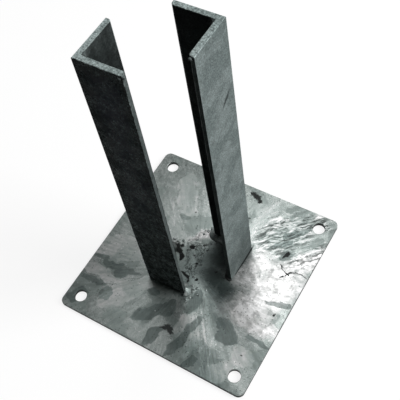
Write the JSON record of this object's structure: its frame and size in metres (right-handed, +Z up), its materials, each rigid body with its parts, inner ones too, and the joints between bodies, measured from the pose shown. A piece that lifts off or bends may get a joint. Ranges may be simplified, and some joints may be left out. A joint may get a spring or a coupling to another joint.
{
  "type": "timber post base",
  "caption": "Square galvanised steel foot plate with corner anchor holes and upright angle irons that clasp a square timber post.",
  "frame": {"origin": "centre of the foot plate's underside", "axes": "+Z up along the post; X and Y along the plate's sides; the uprights stand on the diagonal through -X -Y and +X +Y"},
  "size_m": [0.2, 0.2, 0.304],
  "materials": {
    "plate_zinc": "hot-dip galvanised plate, mottled bright zinc",
    "angle_zinc": "hot-dip galvanised rolled angle, dull grey zinc",
    "weld_zinc": "galvanised weld bead, rough"
  },
  "bodies": {
    "root": {"base_plate": "plate_zinc", "left_angle": "angle_zinc", "right_angle": "angle_zinc", "left_weld": "weld_zinc", "right_weld": "weld_zinc"}
  },
  "joints": []
}
